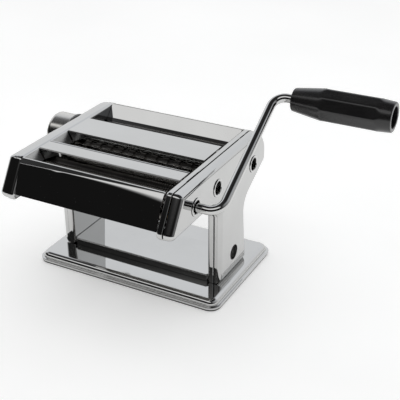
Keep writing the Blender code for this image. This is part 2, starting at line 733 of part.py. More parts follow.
def make_cutters():
    for pair, drive_y in (("fine", FINE_DRIVE_Y), ("wide", WIDE_DRIVE_Y)):
        drive = (drive_y, CUTTER_Z)
        idle = (drive_y - CUTTER_PITCH, CUTTER_Z)
        for label, axis, offset, driven in (("drive", drive, 0, True), ("idle", idle, 1, False)):
            if pair == "fine":
                body = plain_body(axis, CUTTER_PITCH / 2 - GAP / 2, 2 * CUTTER_SIDES)
                sides = 2 * CUTTER_SIDES
            else:
                body = grooved_body(axis, CUTTER_SIDES, offset)
                sides = CUTTER_SIDES
            make_shaft(f"{pair}_cutter_{label}", axis, body, sides, driven)
        names = (f"{pair}_gear_drive", f"{pair}_gear_idle")
        make_gear_pair(names, drive, idle, CUTTER_TEETH, CUTTER_TOOTH, CUTTER_PITCH)


def make_rollers():
    rear = (REAR_ROLLER_Y, REAR_ROLLER_Z)
    front = (FRONT_ROLLER_Y, FRONT_ROLLER_Z)
    for name, axis, driven in (("rear_roller", rear, True), ("front_roller", front, False)):
        make_shaft(name, axis, plain_body(axis, ROLLER_RADIUS, ROLLER_SIDES), ROLLER_SIDES, driven)
    make_gear_pair(("rear_roller_gear", "front_roller_gear"), rear, front, ROLLER_TEETH, ROLLER_TOOTH,
                   CLOSED_CENTRES)


# Thickness dial

def make_dial():
    axis = (DIAL_Y, FRONT_ROLLER_Z)
    cam = -(IDLE_END + 2 * GAP)
    plate = -(COVER_OUT + GAP)
    knob = plate - DIAL_PLATE_THICKNESS - 2 * GAP
    shaft_end = knob - DIAL_BORE_DEPTH + 2 * GAP
    shaft = [(cam, DIAL_CAM_RADIUS), (cam - DIAL_CAM_WIDTH, DIAL_CAM_RADIUS),
             (cam - DIAL_CAM_WIDTH, DIAL_SHAFT_RADIUS), (shaft_end, DIAL_SHAFT_RADIUS)]
    place("dial_shaft", turned(axis, shaft, SMALL_SIDES), SATIN, (cam, *axis))
    bore = clear_hole(*axis, DIAL_SHAFT_RADIUS, SMALL_SIDES, GAP)
    ring = prism(circle(*axis, DIAL_PLATE_RADIUS, DIAL_SIDES), plate, plate - DIAL_PLATE_THICKNESS, [bore])
    place("dial_plate", ring, SATIN)
    bore_radius = DIAL_SHAFT_RADIUS + GAP
    profile = [(knob - DIAL_BORE_DEPTH, bore_radius), (knob, bore_radius), (knob, DIAL_RADIUS)]
    end = knob - DIAL_LENGTH
    for i in range(DIAL_STEPS + 1):
        turn = math.pi / 2 * i / DIAL_STEPS
        profile.append((end + DIAL_ROUNDING * (1 - math.sin(turn)),
                        DIAL_RADIUS - DIAL_ROUNDING * (1 - math.cos(turn))))
    place("dial_knob", turned(axis, profile, DIAL_SIDES), STEEL, (knob, *axis))


# Crank and grip

def crank_axis_end():
    turn = math.radians(ARM_ANGLE)
    return (FINE_DRIVE_Y + ARM_LENGTH * math.cos(turn), CUTTER_Z + ARM_LENGTH * math.sin(turn))


def swept_rings(bm, path, radius, sides):
    """Rings square to the path; the arm's normal keeps them from twisting."""
    turn = math.radians(ARM_ANGLE)
    across = Vector((0.0, -math.sin(turn), math.cos(turn)))
    rings = []
    for i, point in enumerate(path):
        ahead = path[min(i + 1, len(path) - 1)] - path[max(i - 1, 0)]
        beside = across.cross(ahead.normalized()).normalized()
        angles = [2 * math.pi * k / sides for k in range(sides)]
        spots = [point + across * (radius * math.cos(a)) + beside * (radius * math.sin(a)) for a in angles]
        rings.append([bm.verts.new(spot) for spot in spots])
    return rings


def tip_ring(bm, x):
    """A ring of the hexagonal tip; it starts beside the first point of a swept ring."""
    facet = 2 * math.pi / ROD_SIDES
    first = round((math.pi / 2 + math.radians(ARM_ANGLE)) / facet) * facet
    ring = []
    for k in range(ROD_SIDES):
        angle = first - k * facet
        reach = flat_reach(angle, TIP_FLATS / 2, 6)
        spot = (x, FINE_DRIVE_Y + reach * math.cos(angle), CUTTER_Z + reach * math.sin(angle))
        ring.append(bm.verts.new(spot))
    return ring


def make_crank():
    """Bent rod with a hexagonal tip, and the rivet that keeps the grip on."""
    grip_y, grip_z = crank_axis_end()
    tip = JOURNAL_END - SOCKET_DEPTH + TIP_PLAY
    shoulder = JOURNAL_END + GAP
    grip_from = ARM_X + GRIP_START
    rod_end = grip_from + GRIP_LENGTH - GRIP_HOLLOW_DEPTH + 2 * GAP
    corners = [(shoulder + GAP, FINE_DRIVE_Y, CUTTER_Z), (ARM_X, FINE_DRIVE_Y, CUTTER_Z),
               (ARM_X, grip_y, grip_z), (rod_end, grip_y, grip_z)]
    bm = bmesh.new()
    rings = [tip_ring(bm, tip), tip_ring(bm, shoulder)]
    rings += swept_rings(bm, rounded_path(corners, BEND_RADIUS, 5), ROD_RADIUS, ROD_SIDES)
    for first, second in zip(rings, rings[1:]):
        join_loops(bm, first, second)
    bm.faces.new(rings[0])
    bm.faces.new(rings[-1])
    place("crank_rod", bm, STEEL, (shoulder, FINE_DRIVE_Y, CUTTER_Z))
    head = rod_end + GAP
    rivet = [(head, RIVET_RADIUS), (head + RIVET_HEIGHT / 2, RIVET_RADIUS),
             (head + RIVET_HEIGHT, RIVET_RADIUS / 2)]
    place("grip_rivet", turned((grip_y, grip_z), rivet, SMALL_SIDES), STEEL)


def grip_ring(axis, radius, half_flats):
    """A round ring with eight flats cut into it."""
    ring = []
    for i in range(GRIP_SIDES):
        angle = 2 * math.pi * i / GRIP_SIDES
        reach = min(radius, flat_reach(angle, half_flats, 8))
        ring.append((axis[0] + reach * math.cos(angle), axis[1] + reach * math.sin(angle)))
    return ring


def make_grip():
    axis = crank_axis_end()
    start = ARM_X + GRIP_START
    end = start + GRIP_LENGTH
    facets_end = end - GRIP_END_CONE
    bore = ROD_RADIUS / math.cos(math.pi / GRIP_SIDES) + GAP
    hollow = end - GRIP_HOLLOW_DEPTH
    sections = [
        (hollow, bore, 1.0), (start, bore, 1.0), (start, GRIP_NECK_RADIUS - 0.0012, 1.0),
        (start + 0.0012, GRIP_NECK_RADIUS, 1.0), (start + GRIP_TAPER * 0.5, GRIP_NECK_RADIUS + 0.0022, 1.0),
        (start + GRIP_TAPER, GRIP_RADIUS - 0.0008, 1.0), (start + GRIP_TAPER + 0.003, GRIP_RADIUS, GRIP_FLAT),
        (facets_end - 0.003, GRIP_RADIUS, GRIP_FLAT), (facets_end, GRIP_RADIUS - 0.0008, 1.0),
        (end - 0.001, GRIP_END_RADIUS, 1.0), (end, GRIP_END_RADIUS - 0.001, 1.0),
        (end, GRIP_HOLLOW_RADIUS, 1.0), (hollow, GRIP_HOLLOW_RADIUS, 1.0)]
    bm = bmesh.new()
    loops = [add_loop(bm, x, grip_ring(axis, radius, flats)) for x, radius, flats in sections]
    for i, loop in enumerate(loops):
        join_loops(bm, loops[i - 1], loop)
    place("grip", bm, PLASTIC, (start, *axis))


def main():
    clear_scene()
    make_base_pad()
    make_base_pan()
    make_cross_plate()
    make_housings()
    make_bezels()
    make_clamp_socket()
    make_front_guard()
    make_top_sheets()
    make_rear_sheets()
    make_combs()
    make_scrapers()
    make_tie_rods()
    make_cutter_bearings()
    make_roller_bushes()
    make_cutters()
    make_rollers()
    make_dial()
    make_crank()
    make_grip()


main()
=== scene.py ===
"""Looks of the hand-cranked pasta roller machine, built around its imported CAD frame.

Every CAD piece that shows is replaced by a finer one of the same size and place, and the few that
stay inside the housings get the same node-based metals. Metres, in the CAD frame: +X to the crank
side, +Y to the rear, +Z up. Sections are drawn in (y, z) and run along X.
"""
import math

import bmesh
import bpy
from mathutils import Matrix, Vector


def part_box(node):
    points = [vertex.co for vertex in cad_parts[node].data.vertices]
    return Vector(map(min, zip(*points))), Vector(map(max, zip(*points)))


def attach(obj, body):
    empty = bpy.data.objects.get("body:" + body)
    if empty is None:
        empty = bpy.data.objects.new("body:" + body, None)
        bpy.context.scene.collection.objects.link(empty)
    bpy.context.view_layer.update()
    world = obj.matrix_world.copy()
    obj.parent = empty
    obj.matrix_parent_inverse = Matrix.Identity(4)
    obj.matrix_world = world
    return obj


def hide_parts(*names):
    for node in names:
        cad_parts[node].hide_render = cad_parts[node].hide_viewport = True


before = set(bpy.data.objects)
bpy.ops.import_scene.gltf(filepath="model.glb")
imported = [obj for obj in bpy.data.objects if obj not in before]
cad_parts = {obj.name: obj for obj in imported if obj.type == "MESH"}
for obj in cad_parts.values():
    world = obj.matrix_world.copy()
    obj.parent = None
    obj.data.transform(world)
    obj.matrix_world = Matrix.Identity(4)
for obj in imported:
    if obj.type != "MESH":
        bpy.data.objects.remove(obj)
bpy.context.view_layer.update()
GAP = 0.0003

# Places read from the CAD frame

def middle(node):
    low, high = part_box(node)
    return (low + high) / 2


def axis_of(node):
    """(y, z) of the X axis through a turned node's centre."""
    centre = middle(node)
    return (centre.y, centre.z)


FRAME_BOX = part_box("side_frame_right")
COVER_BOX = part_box("side_cover_right")
GUARD_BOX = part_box("front_guard")
FRAME_IN = FRAME_BOX[0].x
COVER_RIM = COVER_BOX[0].x
FRAME_RIM = COVER_RIM - GAP     # on the head; the frame's box reaches out to the pillar's joggle
COVER_OUT = COVER_BOX[1].x
BODY_TOP = FRAME_BOX[1].z
BODY_REAR = FRAME_BOX[1].y
HOUSING_FOOT = FRAME_BOX[0].z
SPAN = GUARD_BOX[1].x
FINE_DRIVE = axis_of("fine_cutter_drive")
FINE_IDLE = axis_of("fine_cutter_idle")
WIDE_DRIVE = axis_of("wide_cutter_drive")
WIDE_IDLE = axis_of("wide_cutter_idle")
REAR_ROLLER = axis_of("rear_roller")
DIAL = axis_of("dial_plate")
CLAMP = axis_of("clamp_socket")

# Sizes that the CAD's boxes don't give, as part.py has them
BASE_CORNER = 0.012
PAD_INSET = 0.0008
CROSS_PLATE_CORNER = 0.003
STEP_TOP = 0.0045
STEP_WIDTH = 0.0030
DECK_ROUNDING = 0.0050
PAN_SHEET = 0.0012
HEAD_DEPTH = 0.0385
NOSE_LEAN = 0.0242
PILLAR_FRONT = -0.0344
PILLAR_FOOT_REAR = 0.0274
WAIST_REAR = 0.0206
WAIST_DROP = 0.0647
BULGE_DROP = 0.0377
BULGE_RADIUS = 0.0257
FRAME_SHEET = 0.002
COVER_SHEET = 0.001
FRAME_ROUNDING = 0.0015
PILLAR_JOGGLE = 0.003
JOGGLE_DROP = 0.052
JOGGLE_LENGTH = 0.006
SHEET = 0.001
GUARD_SETBACK = 0.0010
GUARD_LEAN = 0.0171
GUARD_DROP = 0.032
CHUTE_LEAN = 0.003
SHEET_LIP = 0.003
HOPPER_TOP_Y = 0.047
HOPPER_BOTTOM_Y = 0.036
HOPPER_DROP = 0.012
REAR_GUARD_FOOT, REAR_GUARD_TOP = -20.0, 78.0   # degrees
JOURNAL_RADIUS = 0.005
ROLLER_RADIUS = 0.0175
ROLLER_HALF = 0.075
DISC_RADIUS = 0.00975
GROOVE_RADIUS = 0.0085
WIDE_DISC = 0.0065
SOCKET_HALF = 0.00315
SOCKET_DEPTH = 0.012
TIE_THREAD = 0.0025
BEZEL_RADIUS = 0.0088
BEZEL_BORE = 0.0064
BEZEL_NECK = 0.0075
CLAMP_RADIUS = 0.008
CARRIAGE_TRAVEL = 0.00225
DIAL_BORE = 0.0043
DIAL_BORE_DEPTH = 0.016
ROD_RADIUS = 0.0044
BEND_RADIUS = 0.0125
ARM_OFFSET = 0.0237
ARM_ANGLE = math.radians(31.6)
TIP_HALF = 0.0030
ROD_SHOULDER = 0.0914
GRIP_NECK_RADIUS = 0.0111
GRIP_RADIUS = 0.0157
GRIP_FLAT = 0.0148
GRIP_END_RADIUS = 0.0141
GRIP_END_CONE = 0.013
GRIP_HOLLOW_RADIUS = 0.0100
GRIP_HOLLOW_DEPTH = 0.014

# Sizes of detail that only these pieces have
COVER_ROUNDING = 0.0052
COVER_ROUNDING_X = 0.0078   # along X; the edge is flatter towards the seam
CHUTE_UPRIGHT = 0.002       # how far each chute's foot stands back from the CAD's
FINE_DISC = 0.0012
CHEEK_REACH = 0.0055


# Materials

def add_node(tree, kind, **values):
    node = tree.nodes.new(kind)
    for key, value in values.items():
        if key in node.inputs:
            node.inputs[key].default_value = value
        else:
            setattr(node, key, value)
    return node


def noise(tree, scale, stretch=(1.0, 1.0, 1.0), detail=4.0, roughness=0.55):
    """A noise that runs through the piece's own space, stretched by a share along each axis."""
    coords = add_node(tree, "ShaderNodeTexCoord")
    mapping = add_node(tree, "ShaderNodeMapping")
    mapping.inputs["Scale"].default_value = stretch
    tree.links.new(coords.outputs["Object"], mapping.inputs["Vector"])
    made = add_node(tree, "ShaderNodeTexNoise")
    made.inputs["Scale"].default_value = scale
    made.inputs["Detail"].default_value = detail
    made.inputs["Roughness"].default_value = roughness
    tree.links.new(mapping.outputs["Vector"], made.inputs["Vector"])
    return made.outputs["Fac"]


def ramp(tree, factor, stops):
    """A colour ramp through (place, grey or colour) stops."""
    made = add_node(tree, "ShaderNodeValToRGB")
    elements = made.color_ramp.elements
    while len(elements) < len(stops):
        elements.new(0.5)
    for element, (place, colour) in zip(elements, stops):
        element.position = place
        shade = (colour,) * 3 if isinstance(colour, float) else colour
        element.color = (*shade, 1.0)
    tree.links.new(factor, made.inputs["Fac"])
    return made.outputs["Color"]


def between(tree, factor, low, high, start=0.3, end=0.7):
    made = add_node(tree, "ShaderNodeMapRange")
    for key, value in (("From Min", start), ("From Max", end), ("To Min", low), ("To Max", high)):
        made.inputs[key].default_value = value
    tree.links.new(factor, made.inputs["Value"])
    return made.outputs["Result"]


def bump(tree, shader, layers):
    """Chains bump layers of (height, distance in metres) into the shader's normal."""
    normal = None
    for height, distance in layers:
        made = add_node(tree, "ShaderNodeBump")
        made.inputs["Strength"].default_value = 1.0
        made.inputs["Distance"].default_value = distance
        tree.links.new(height, made.inputs["Height"])
        if normal is not None:
            tree.links.new(normal, made.inputs["Normal"])
        normal = made.outputs["Normal"]
    tree.links.new(normal, shader.inputs["Normal"])


def start_material(name):
    made = bpy.data.materials.new(name)
    made.use_nodes = True
    return made, made.node_tree, made.node_tree.nodes["Principled BSDF"]


def metal(name, dark, light, smooth, rough, grain, grain_depth, wave_depth=0.0, marks=0.0):
    """A bare metal: cloudy tone and roughness, a drawn grain along one axis, and a sheet's slight waves.

    marks darkens thin scattered scratches and rub marks by that share.
    """
    made, tree, shader = start_material(name)
    shader.inputs["Metallic"].default_value = 1.0
    cloud = noise(tree, 22.0, detail=6.0)
    lines = noise(tree, 260.0, grain, detail=3.0)
    tone = ramp(tree, cloud, [(0.30, dark), (0.70, light)])
    if marks:
        spots = noise(tree, 420.0, (1.0, 0.12, 0.5), detail=8.0, roughness=0.7)
        flecks = ramp(tree, spots, [(0.66, 1.0), (0.74, 1.0 - marks)])
        mixed = add_node(tree, "ShaderNodeMix", data_type="RGBA", blend_type="MULTIPLY")
        mixed.inputs["Factor"].default_value = 1.0
        tree.links.new(tone, mixed.inputs["A"])
        tree.links.new(flecks, mixed.inputs["B"])
        tone = mixed.outputs["Result"]
    tree.links.new(tone, shader.inputs["Base Color"])
    smears = noise(tree, 55.0, (1.0, 0.35, 0.6), detail=8.0, roughness=0.65)
    tree.links.new(between(tree, smears, smooth, rough), shader.inputs["Roughness"])
    layers = [(lines, grain_depth)]
    if wave_depth:
        layers.insert(0, (noise(tree, 16.0, detail=1.0), wave_depth))
    bump(tree, shader, layers)
    return made


ALONG_X = (0.06, 1.0, 1.0)
ROUND_X = (1.0, 0.05, 0.05)
CHROME = metal("chrome_sheet", (0.54, 0.54, 0.535), (0.57, 0.57, 0.565), 0.03, 0.07,
               ALONG_X, 0.0000012, wave_depth=0.00005, marks=0.06)
CHROME_FINE = metal("chrome_turned", (0.57, 0.57, 0.565), (0.61, 0.61, 0.605), 0.04, 0.09,
                    ROUND_X, 0.0000015, marks=0.05)
CHROME_CAST = metal("chrome_cast", (0.58, 0.57, 0.55), (0.66, 0.65, 0.62), 0.16, 0.24,
                    ROUND_X, 0.0000015, wave_depth=0.00004, marks=0.05)
GROUND = metal("ground_steel", (0.40, 0.39, 0.38), (0.50, 0.49, 0.47), 0.09, 0.18,
               ROUND_X, 0.000004, marks=0.12)
# Ground steel for the cutter discs. Its base colour is darker than ground_steel's to paint in the shade
# that falls in the cutter slots.
SHADED_CUTTER_STEEL = metal("ground_blades_painted_shade", (0.22, 0.21, 0.195), (0.32, 0.30, 0.28), 0.14, 0.26,
              ROUND_X, 0.000004, marks=0.12)
SATIN = metal("satin_steel", (0.40, 0.40, 0.40), (0.50, 0.50, 0.49), 0.22, 0.38,
              ALONG_X, 0.000008, marks=0.15)
GEAR = metal("gear_steel", (0.20, 0.19, 0.18), (0.32, 0.30, 0.28), 0.28, 0.46,
             ROUND_X, 0.00001, marks=0.25)
BRONZE = metal("bearing_bronze", (0.36, 0.24, 0.12), (0.52, 0.37, 0.20), 0.28, 0.45,
               ROUND_X, 0.00001, marks=0.2)


def moulded(name, dark, light, smooth, rough, grain_scale, grain_depth, wave_depth, coat=0.0):
    """Moulded plastic or rubber: fine pitted skin, soft sink marks and a little handling wear."""
    made, tree, shader = start_material(name)
    if coat:
        shader.inputs["Coat Weight"].default_value = coat
        shader.inputs["Coat Roughness"].default_value = 0.12
    tone = ramp(tree, noise(tree, 40.0, detail=5.0), [(0.30, dark), (0.70, light)])
    tree.links.new(tone, shader.inputs["Base Color"])
    wear = noise(tree, 90.0, (0.4, 1.0, 1.0), detail=8.0, roughness=0.7)
    tree.links.new(between(tree, wear, smooth, rough), shader.inputs["Roughness"])
    bump(tree, shader, [(noise(tree, 30.0, detail=1.0), wave_depth),
                        (noise(tree, grain_scale, detail=2.0), grain_depth)])
    return made


PLASTIC = moulded("black_plastic", (0.010, 0.010, 0.0105), (0.019, 0.018, 0.018), 0.17, 0.30,
                  1500.0, 0.000006, 0.00006, coat=0.25)
RUBBER = moulded("rubber", (0.018, 0.018, 0.018), (0.035, 0.034, 0.033), 0.55, 0.80,
                 900.0, 0.00003, 0.00004)


# Sections and solids

def outline(corners, inset=0.0, finer=3):
    """A counter-clockwise outline moved inwards by inset; each corner is (y, z, radius, steps)."""
    points = []
    count = len(corners)
    for i, (y, z, radius, steps) in enumerate(corners):
        here = Vector((y, z))
        into = (here - Vector(corners[i - 1][:2])).normalized()
        out = (Vector(corners[(i + 1) % count][:2]) - here).normalized()
        left_in = Vector((-into.y, into.x))
        left_out = Vector((-out.y, out.x))
        here = here + (left_in + left_out) * (inset / (1.0 + left_in.dot(left_out)))
        turn = math.atan2(into.x * out.y - into.y * out.x, into.dot(out))
        if steps == 0:
            points.append(tuple(here))
            continue
        side = math.copysign(1.0, turn)
        bend = max(radius - side * inset, GAP)
        start = here - into * (bend * math.tan(abs(turn) / 2))
        centre = start + left_in * (side * bend)
        for step in range(steps * finer + 1):
            spoke = (start - centre).copy()
            spoke.rotate(Matrix.Rotation(turn * step / (steps * finer), 2))
            points.append(tuple(centre + spoke))
    return points


def circle(axis, radius, sides, start=0.0):
    angles = [2 * math.pi * i / sides + start for i in range(sides)]
    return [(axis[0] + radius * math.cos(a), axis[1] + radius * math.sin(a)) for a in angles]


def hexagon(axis, half_flats, count):
    """A hexagon drawn with count points, so that it can join a rounder ring."""
    ring = []
    for i in range(count):
        angle = 2 * math.pi * i / count
        reach = half_flats / math.cos(angle % (math.pi / 3) - math.pi / 6)
        ring.append((axis[0] + reach * math.cos(angle), axis[1] + reach * math.sin(angle)))
    return ring


def strip(points, thickness):
    """The closed section of a sheet bent along points; the sheet lies on the line's left side."""
    shifted = []
    for i, point in enumerate(points):
        here = Vector(point)
        before = (here - Vector(points[i - 1])).normalized() if i > 0 else None
        after = (Vector(points[i + 1]) - here).normalized() if i + 1 < len(points) else None
        before = before or after
        after = after or before
        left_a = Vector((-before.y, before.x))
        left_b = Vector((-after.y, after.x))
        shifted.append(tuple(here + (left_a + left_b) * (thickness / (1.0 + left_a.dot(left_b)))))
    return [tuple(point) for point in points] + shifted[::-1]


def arc(centre, radius, start, end, steps):
    angles = [math.radians(start + (end - start) * i / steps) for i in range(steps + 1)]
    return [(centre[0] + radius * math.cos(a), centre[1] + radius * math.sin(a)) for a in angles]


def quarter(steps):
    """(sine, cosine) pairs through a quarter turn, from 0 to 90 degrees."""
    turns = [math.pi / 2 * i / steps for i in range(steps + 1)]
    return [(math.sin(turn), math.cos(turn)) for turn in turns]


def rounded_path(points, radius, steps):
    """An open line, in two or three dimensions, with a round bend at each inner corner."""
    path = [Vector(points[0])]
    for before, here, after in zip(points, points[1:], points[2:]):
        into = (Vector(here) - Vector(before)).normalized()
        out = (Vector(after) - Vector(here)).normalized()
        turn = into.angle(out)
        start = Vector(here) - into * (radius * math.tan(turn / 2))
        inwards = (out - into * math.cos(turn)).normalized()
        for i in range(steps + 1):
            part = turn * i / steps
            aside = inwards * (radius * (1.0 - math.cos(part)))
            path.append(start + aside + into * (radius * math.sin(part)))
    path.append(Vector(points[-1]))
    return path


def add_loop(bm, x, points):
    return [bm.verts.new((x, y, z)) for y, z in points]


def join_loops(bm, first, second):
    for i in range(len(first)):
        bm.faces.new((first[i - 1], first[i], second[i], second[i - 1]))


def fill_loops(bm, loops):
    edges = []
    for verts in loops:
        for i in range(len(verts)):
            pair = (verts[i - 1], verts[i])
            edges.append(bm.edges.get(pair) or bm.edges.new(pair))
    bmesh.ops.triangle_fill(bm, use_beauty=True, use_dissolve=False, edges=edges)


def lofted(rings, holes=(), closed=False):
    """A solid through rings of equal length, as (x, points), with straight holes between its ends."""
    bm = bmesh.new()
    loops = [add_loop(bm, x, points) for x, points in rings]
    for first, second in zip(loops, loops[1:]):
        join_loops(bm, first, second)
    if closed:
        join_loops(bm, loops[-1], loops[0])
        return bm
    starts = [add_loop(bm, rings[0][0], hole) for hole in holes]
    ends = [add_loop(bm, rings[-1][0], hole) for hole in holes]
    for first, second in zip(starts, ends):
        join_loops(bm, first, second)
    fill_loops(bm, [loops[0]] + starts)
    fill_loops(bm, [loops[-1]] + ends)
    return bm


def prism(points, x_from, x_to, holes=()):
    return lofted([(x_from, points), (x_to, points)], holes)


def turned(axis, profile, sides, closed=False):
    """A solid of revolution about an X axis, from a profile of (x, radius)."""
    return lofted([(x, circle(axis, radius, sides)) for x, radius in profile], closed=closed)


def mirrored(bm):
    bmesh.ops.scale(bm, vec=(-1.0, 1.0, 1.0), verts=bm.verts[:])
    return bm


def piece(name, bm, finish, nodes, body="frame", sharp=40.0):
    """Makes a shown piece that rides on a body, carries a slot's finish and may stand for CAD nodes."""
    bm.normal_update()
    bmesh.ops.recalc_face_normals(bm, faces=bm.faces[:])
    mesh = bpy.data.meshes.new(name)
    bm.to_mesh(mesh)
    bm.free()
    mesh.shade_smooth()
    mesh.set_sharp_from_angle(angle=math.radians(sharp))
    mesh.materials.append(finish)
    made = bpy.data.objects.new(name, mesh)
    bpy.context.scene.collection.objects.link(made)
    weighted = made.modifiers.new("even_shading", "WEIGHTED_NORMAL")
    weighted.keep_sharp = True
    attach(made, body)
    if nodes:
        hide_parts(*nodes)
    return made


# Base

def stacked(levels, corners):
    """A closed solid through plan outlines, as (z, inset), from its underside round to its top."""
    bm = bmesh.new()
    loops = [[bm.verts.new((x, y, z)) for x, y in outline(corners, inset)] for z, inset in levels]
    for first, second in zip(loops, loops[1:]):
        join_loops(bm, first, second)
    fill_loops(bm, [loops[0]])
    fill_loops(bm, [loops[-1]])
    return bm


def plan_corners(node, corner, steps):
    low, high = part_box(node)
    return [(low.x, low.y, corner, steps), (high.x, low.y, corner, steps),
            (high.x, high.y, corner, steps), (low.x, high.y, corner, steps)]


def make_pan():
    """Levels run from under the deck, down the inside, round the flange and up over the deck's edge."""
    low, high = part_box("base_pan")
    foot, springing = low.z, high.z - DECK_ROUNDING
    inner = DECK_ROUNDING - PAN_SHEET
    levels = [(springing + inner * sine, STEP_WIDTH + PAN_SHEET + inner - inner * cosine)
              for sine, cosine in quarter(6)[::-1]]
    levels += [(STEP_TOP - PAN_SHEET, STEP_WIDTH + PAN_SHEET), (STEP_TOP - PAN_SHEET, PAN_SHEET),
               (foot, PAN_SHEET), (foot, 0.0)]
    flange = 0.0007
    levels += [(STEP_TOP - flange + flange * sine, flange - flange * cosine) for sine, cosine in quarter(4)]
    cove = 0.0008
    levels += [(STEP_TOP + cove - cove * cosine, STEP_WIDTH - cove + cove * sine)
               for sine, cosine in quarter(4)[:-1]]
    edge = [(springing + DECK_ROUNDING * sine, STEP_WIDTH + DECK_ROUNDING - DECK_ROUNDING * cosine)
            for sine, cosine in quarter(16)]
    levels += [level for level in edge if level[0] > STEP_TOP + cove]
    pan = stacked(levels, plan_corners("base_pan", BASE_CORNER, 5))
    piece("pan", pan, CHROME, ["base_pan"])


def make_pad():
    low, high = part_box("base_pad")
    edge = 0.0004
    levels = [(low.z, edge), (low.z + edge, 0.0), (high.z - edge, 0.0), (high.z, edge)]
    pad = stacked(levels, plan_corners("base_pad", BASE_CORNER - PAD_INSET, 5))
    piece("pad", pad, RUBBER, ["base_pad"])


def make_saddle():
    low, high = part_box("cross_plate")
    rounding = 0.0010
    levels = [(high.z - PAN_SHEET, PAN_SHEET), (low.z, PAN_SHEET), (low.z, 0.0)]
    levels += [(high.z - rounding + rounding * sine, rounding - rounding * cosine)
               for sine, cosine in quarter(5)]
    plate = stacked(levels, plan_corners("cross_plate", CROSS_PLATE_CORNER, 3))
    piece("saddle", plate, CHROME, ["cross_plate"])


# Housings

def side_corners():
    """Corners of a housing seen along X, counter-clockwise from the top front corner."""
    underside = BODY_TOP - HEAD_DEPTH
    top_front = GUARD_BOX[1].y - GUARD_SETBACK
    return [(top_front, BODY_TOP, 0.0052, 3), (top_front - NOSE_LEAN, underside, 0.0058, 4),
            (PILLAR_FRONT, underside, 0.020, 5), (PILLAR_FRONT, HOUSING_FOOT, 0.0, 0),
            (PILLAR_FOOT_REAR, HOUSING_FOOT, 0.0, 0), (WAIST_REAR, BODY_TOP - WAIST_DROP, 0.018, 4),
            (BODY_REAR, BODY_TOP - BULGE_DROP, 0.008, 4), (BODY_REAR, BODY_TOP, BULGE_RADIUS, 8)]


def joggle(bm, fixed_from):
    """Steps the part of a housing nearer than fixed_from outwards on the pillar."""
    high = BODY_TOP - JOGGLE_DROP
    cuts = 6
    for i in range(cuts + 1):
        z = high - JOGGLE_LENGTH * i / cuts
        geometry = bm.verts[:] + bm.edges[:] + bm.faces[:]
        bmesh.ops.bisect_plane(bm, geom=geometry, plane_co=(0.0, 0.0, z), plane_no=(0.0, 0.0, 1.0))
    for vert in bm.verts:
        if vert.co.x < fixed_from:
            share = min(max((high - vert.co.z) / JOGGLE_LENGTH, 0.0), 1.0)
            vert.co.x += PILLAR_JOGGLE * share * share * (3.0 - 2.0 * share)
    return bm


def bend_rings(centre_x, first_inset, radius, start, end, steps):
    """Rings (x, inset) round a sheet's bend; the angle is 0 at the face and 90 degrees at the flange."""
    rings = []
    for i in range(steps + 1):
        turn = math.radians(start + (end - start) * i / steps)
        rings.append((centre_x + radius * math.cos(turn), first_inset - radius * math.sin(turn)))
    return rings


def make_frames():
    through = JOURNAL_RADIUS + 4 * GAP
    shafts = (FINE_DRIVE, FINE_IDLE, WIDE_DRIVE, WIDE_IDLE, REAR_ROLLER)
    holes = [circle(axis, through, 48) for axis in shafts]
    holes.append(circle(DIAL, through + CARRIAGE_TRAVEL / 2, 48))
    for label in ("front", "middle", "rear"):
        holes.append(circle(axis_of(f"tie_rod_{label}"), TIE_THREAD + GAP, 24))
    bend = 2 * FRAME_ROUNDING
    inner = bend - FRAME_SHEET
    plate = FRAME_IN + FRAME_SHEET
    rim = 0.0003
    rings = bend_rings(FRAME_IN + bend, bend, inner, 180.0, 90.0, 4)
    rings[0] = (plate, bend)
    rings += [(FRAME_RIM - rim, FRAME_SHEET), (FRAME_RIM, FRAME_SHEET - rim), (FRAME_RIM, rim),
              (FRAME_RIM - rim, 0.0)]
    rings += bend_rings(FRAME_IN + bend, bend, bend, 90.0, 180.0, 8)
    for side, flip in (("right", False), ("left", True)):
        bm = lofted([(x, outline(side_corners(), inset)) for x, inset in rings], holes)
        joggle(bm, COVER_OUT)
        piece(f"frame_shell_{side}", mirrored(bm) if flip else bm, CHROME,
              [f"side_frame_{side}"])


def make_covers():
    crank_side = [circle(axis, BEZEL_NECK + GAP, 48) for axis in (FINE_DRIVE, WIDE_DRIVE, REAR_ROLLER)]
    crank_side.append(circle(CLAMP, CLAMP_RADIUS, 48))
    dial_side = [circle(DIAL, DIAL_BORE, 48)]
    wide, high = COVER_ROUNDING_X, COVER_ROUNDING
    bend_x = COVER_OUT - wide
    rim = 0.0002
    for side, flip, holes, seam, setback in (("right", False, crank_side, 0.0009, 0.0003),
                                             ("left", True, dial_side, 0.0, 0.0006)):
        start = COVER_RIM + seam
        rings = [(bend_x + (wide - COVER_SHEET) * cosine, high - (high - COVER_SHEET) * sine)
                 for sine, cosine in quarter(6)]
        rings += [(start + rim, COVER_SHEET), (start, COVER_SHEET - rim), (start, rim), (start + rim, 0.0)]
        rings += [(bend_x + wide * cosine, high - high * sine) for sine, cosine in quarter(12)[::-1]]
        rings = [(x, inset + setback) for x, inset in rings]
        bm = lofted([(x, outline(side_corners(), inset)) for x, inset in rings], holes)
        joggle(bm, (start + bend_x + wide / 2) / 2)
        piece(f"cover_shell_{side}", mirrored(bm) if flip else bm, CHROME,
              [f"side_cover_{side}"])


